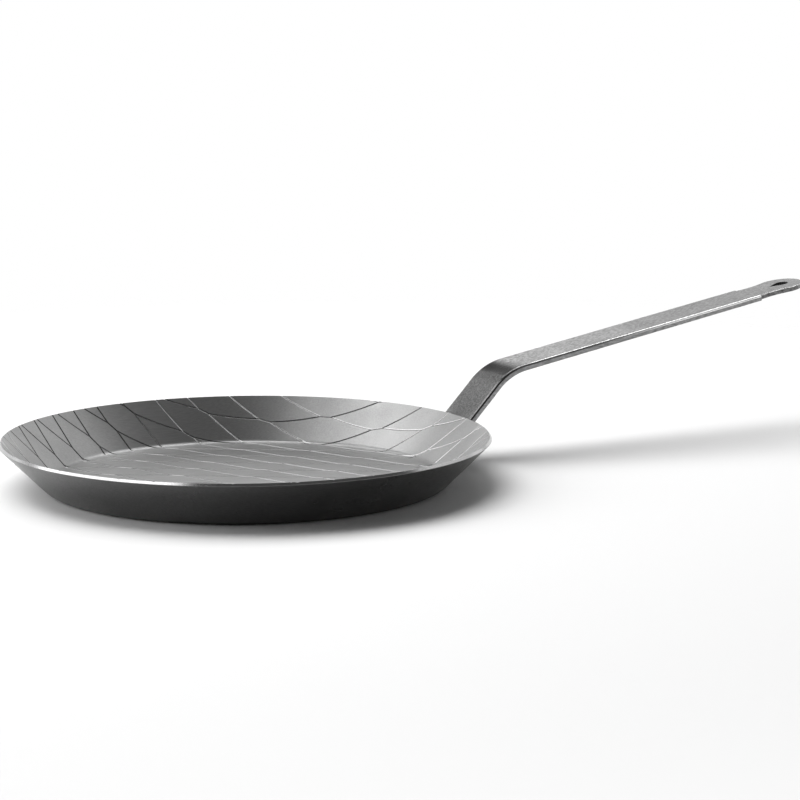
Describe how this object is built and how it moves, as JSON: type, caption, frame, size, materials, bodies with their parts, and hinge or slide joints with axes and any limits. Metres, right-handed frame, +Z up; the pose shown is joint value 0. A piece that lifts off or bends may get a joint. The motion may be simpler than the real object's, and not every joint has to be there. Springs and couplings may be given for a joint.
{
  "type": "frying pan",
  "caption": "Shallow frying pan of pressed carbon steel with a flared wall, cross-scored inside, and a flat strip-steel handle welded to the outside and ending in a teardrop hanging eye.",
  "frame": {"origin": "centre of the flat underside of the base", "axes": "+Z up out of the pan, +X from the pan's centre along the handle"},
  "size_m": [0.5382, 0.2796, 0.0952],
  "materials": {
    "pan_steel": "satin bare carbon steel, scored with fine crossing lines inside",
    "strip_steel": "ground along its length, with mill grain and bright broken edges",
    "weld_metal": "as fused"
  },
  "bodies": {
    "root": {"pan_body": "pan_steel", "handle": "strip_steel", "spot_weld_1": "weld_metal", "spot_weld_2": "weld_metal", "spot_weld_3": "weld_metal", "spot_weld_4": "weld_metal"}
  },
  "joints": []
}
